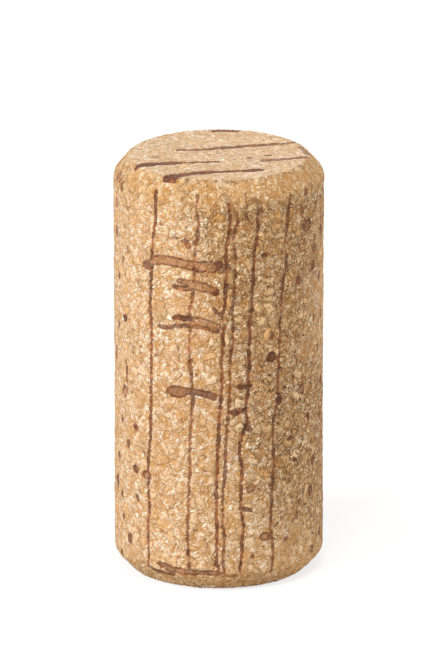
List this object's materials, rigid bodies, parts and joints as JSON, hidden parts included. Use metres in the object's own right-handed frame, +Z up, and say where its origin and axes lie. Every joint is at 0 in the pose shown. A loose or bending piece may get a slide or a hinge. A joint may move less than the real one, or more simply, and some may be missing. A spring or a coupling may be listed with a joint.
{
  "type": "wine cork",
  "caption": "Straight cylindrical wine cork of bonded granules, with a softened chamfer at each end and a burnt figure of growth lines and lenticels like natural cork.",
  "frame": {"origin": "centre of the lower end face, which the cork stands on", "axes": "+Z up the cork's axis, -Y out of the side that faces the picture, +X to that side's right"},
  "size_m": [0.0242, 0.0242, 0.049],
  "materials": {
    "cork": "matte bonded cork granules"
  },
  "bodies": {
    "root": {"cork": "cork"}
  },
  "joints": []
}
